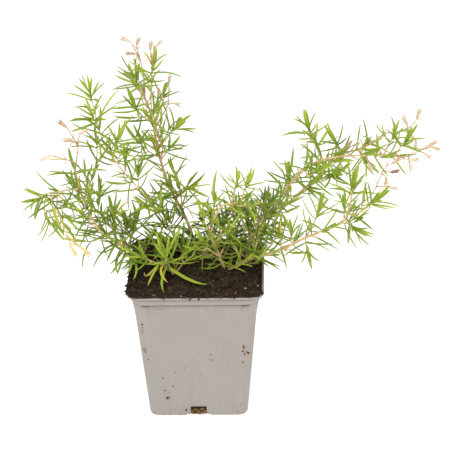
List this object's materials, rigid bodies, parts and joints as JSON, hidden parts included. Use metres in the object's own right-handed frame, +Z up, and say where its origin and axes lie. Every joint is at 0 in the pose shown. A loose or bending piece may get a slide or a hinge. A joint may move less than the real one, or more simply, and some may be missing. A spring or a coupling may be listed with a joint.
{
  "type": "potted creeping phlox",
  "caption": "Creeping phlox with thin trailing stems, narrow paired leaves and dried flower heads, grown in a square tapered plastic nursery pot of peat soil.",
  "frame": {"origin": "middle of the underside of the pot's base", "axes": "+Z up along the pot's axis, +X to the right and +Y to the back as seen from the pot's front"},
  "size_m": [0.2706, 0.1409, 0.2439],
  "materials": {
    "pot_plastic": "light taupe grey, thin moulded plastic, satin",
    "peat": "dark brown crumbly peat, dull",
    "foliage": "fresh green leaves on tan stems, soft sheen",
    "dried_tissue": "dry papery tan, dull"
  },
  "bodies": {
    "root": {"pot": "pot_plastic", "soil": "peat", "stem_tall_left": "foliage", "stem_left": "foliage", "stem_low_left": "foliage", "stem_front_left": "foliage", "stem_front_middle": "foliage", "stem_upper_right": "foliage", "stem_long_right": "foliage", "stem_low_right": "foliage", "stem_inner_right": "foliage", "stem_inner_back": "foliage", "stem_centre_low": "foliage", "stem_centre_back": "foliage", "stem_back_low": "foliage", "dried_head_top": "dried_tissue", "dried_head_top_right": "dried_tissue", "dried_head_left": "dried_tissue", "dried_head_low_left": "dried_tissue", "dried_head_upper_right": "dried_tissue", "dried_head_right": "dried_tissue", "dried_head_low_right": "dried_tissue"}
  },
  "joints": []
}
